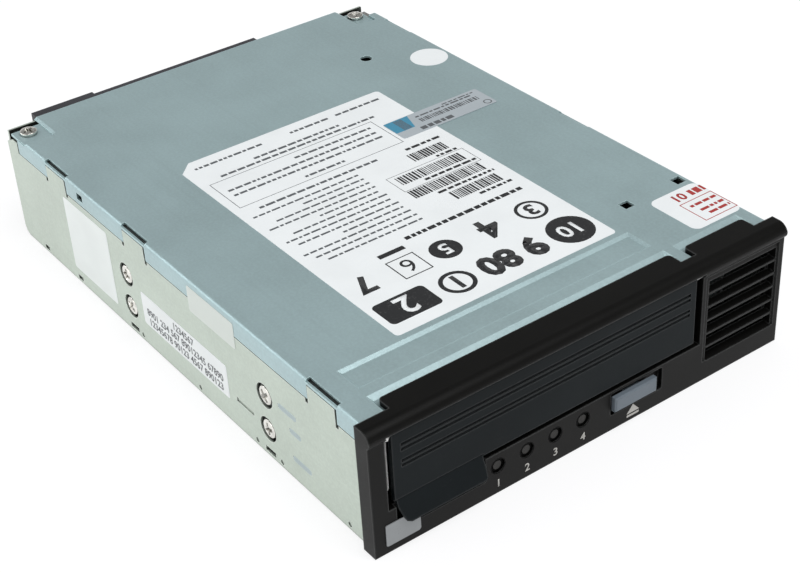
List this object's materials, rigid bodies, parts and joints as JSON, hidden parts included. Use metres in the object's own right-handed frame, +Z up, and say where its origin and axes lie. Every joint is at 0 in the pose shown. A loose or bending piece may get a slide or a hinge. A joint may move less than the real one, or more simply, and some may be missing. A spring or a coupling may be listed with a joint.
{
  "type": "data tape drive",
  "caption": "Half-height internal tape drive: steel chassis and cover, moulded bezel with a hinged cartridge door, eject key, grille, lowering carriage and reel-to-reel tape deck.",
  "frame": {"origin": "centre of the bounding box on the underside plane", "axes": "+X to the right seen from the front, +Y to the rear connectors, +Z up; the bezel faces -Y"},
  "size_m": [0.1494, 0.2184, 0.0417],
  "materials": {
    "zinc_steel": "zinc-plated sheet, satin",
    "black_plastic": "moulded, fine texture",
    "door_plastic": "moulded, fine texture",
    "button_plastic": "moulded",
    "clear_plastic": "smoked clear",
    "screw_steel": "bright",
    "spring_steel": "drawn wire",
    "machined_steel": "ground",
    "deck_steel": "pressed",
    "cast_alloy": "cast",
    "green_board": "solder mask",
    "chip_resin": "moulded",
    "white_plastic": "moulded",
    "grey_plastic": "moulded",
    "gold_contact": "plated",
    "copper_coil": "wound wire",
    "orange_flex": "film",
    "magnet": "plated"
  },
  "bodies": {
    "chassis": {"base_chassis": "zinc_steel", "top_cover": "zinc_steel", "cover_screws": "screw_steel", "cover_screw_blocks": "machined_steel", "side_mounting_screws": "screw_steel", "front_bezel": "black_plastic", "door_return_spring": "spring_steel", "led_light_pipes": "clear_plastic", "front_panel_board": "green_board", "status_leds": "white_plastic", "eject_switch": "grey_plastic", "main_circuit_board": "green_board", "board_spacers": "machined_steel", "board_chips": "chip_resin", "rear_connector_block": "black_plastic", "power_pins": "screw_steel", "data_contact_tongue": "grey_plastic", "mechanism_deck": "deck_steel", "carriage_guide_left": "deck_steel", "carriage_guide_right": "deck_steel", "load_gear_post": "machined_steel", "load_motor": "cast_alloy", "supply_reel_motor": "cast_alloy", "takeup_reel_motor": "cast_alloy", "roller_posts": "machined_steel", "head_guide_posts": "machined_steel", "head_bracket": "cast_alloy", "voice_coil_magnet": "magnet", "head_flex_cable": "orange_flex", "grabber_rail": "machined_steel"},
    "door": {"cartridge_door": "door_plastic", "door_hinge_pins": "machined_steel"},
    "eject_key": {"eject_button": "button_plastic"},
    "cam_plates": {"cam_plate_left": "machined_steel", "cam_plate_right": "machined_steel", "cam_link_bar": "machined_steel", "load_rack": "white_plastic"},
    "carriage": {"cartridge_carriage": "deck_steel", "carriage_pins": "machined_steel"},
    "idler": {"load_gear": "white_plastic"},
    "motor_pinion": {"load_motor_pinion": "gold_contact", "load_motor_shaft": "machined_steel"},
    "hub": {"drive_hub": "grey_plastic"},
    "reel": {"takeup_reel": "grey_plastic", "takeup_shaft": "machined_steel"},
    "front_roller": {"guide_roller_front": "machined_steel"},
    "rear_roller": {"guide_roller_rear": "machined_steel"},
    "head": {"tape_head": "grey_plastic", "head_voice_coil": "copper_coil"},
    "grabber": {"leader_grabber": "white_plastic"}
  },
  "joints": [
    {"name": "door_swing", "type": "hinge", "parent": "chassis", "child": "door", "pos_m": [0, -0.106, 0.03725], "axis": [-1, 0, 0], "range_deg": [0, 82], "stiffness_Nm_per_rad": 0.003, "springref_deg": -20.05},
    {"name": "eject_press", "type": "slide", "parent": "chassis", "child": "eject_key", "axis": [0, 1, 0], "range_m": [0, 0.0015], "stiffness_N_per_m": 150, "springref_m": -0.001},
    {"name": "cam_slide", "type": "slide", "parent": "chassis", "child": "cam_plates", "axis": [0, 1, 0], "range_m": [0, 0.016]},
    {"name": "carriage_lower", "type": "slide", "parent": "chassis", "child": "carriage", "axis": [0, 0, -1], "range_m": [0, 0.0045]},
    {"name": "idler_spin", "type": "hinge", "parent": "chassis", "child": "idler", "pos_m": [0.05188, 0.0272, 0.0215], "axis": [0, 0, 1], "range_deg": [-128, 0]},
    {"name": "motor_spin", "type": "hinge", "parent": "chassis", "child": "motor_pinion", "pos_m": [0.06398, 0.0272, 0.0215], "axis": [0, 0, 1], "range_deg": [0, 192]},
    {"name": "hub_spin", "type": "hinge", "parent": "chassis", "child": "hub", "pos_m": [-0.0139, -0.0448, 0.01], "axis": [0, 0, 1], "continuous": true},
    {"name": "reel_spin", "type": "hinge", "parent": "chassis", "child": "reel", "pos_m": [-0.0139, 0.0582, 0.02], "axis": [0, 0, 1], "continuous": true},
    {"name": "front_roller_spin", "type": "hinge", "parent": "chassis", "child": "front_roller", "pos_m": [-0.059, 0.0142, 0.021], "axis": [0, 0, 1], "continuous": true},
    {"name": "rear_roller_spin", "type": "hinge", "parent": "chassis", "child": "rear_roller", "pos_m": [-0.059, 0.0482, 0.021], "axis": [0, 0, 1], "continuous": true},
    {"name": "head_index", "type": "slide", "parent": "chassis", "child": "head", "axis": [0, 0, 1], "range_m": [-0.0012, 0.0012], "stiffness_N_per_m": 400},
    {"name": "grabber_travel", "type": "slide", "parent": "chassis", "child": "grabber", "axis": [0, 1, 0], "range_m": [0, 0.038]}
  ],
  "couplings": [
    {"joint": "carriage_lower", "follows": "cam_slide", "ratio": 0.28125},
    {"joint": "idler_spin", "follows": "cam_slide", "rad_per_m": -138.89},
    {"joint": "motor_spin", "follows": "cam_slide", "rad_per_m": 208.33}
  ]
}
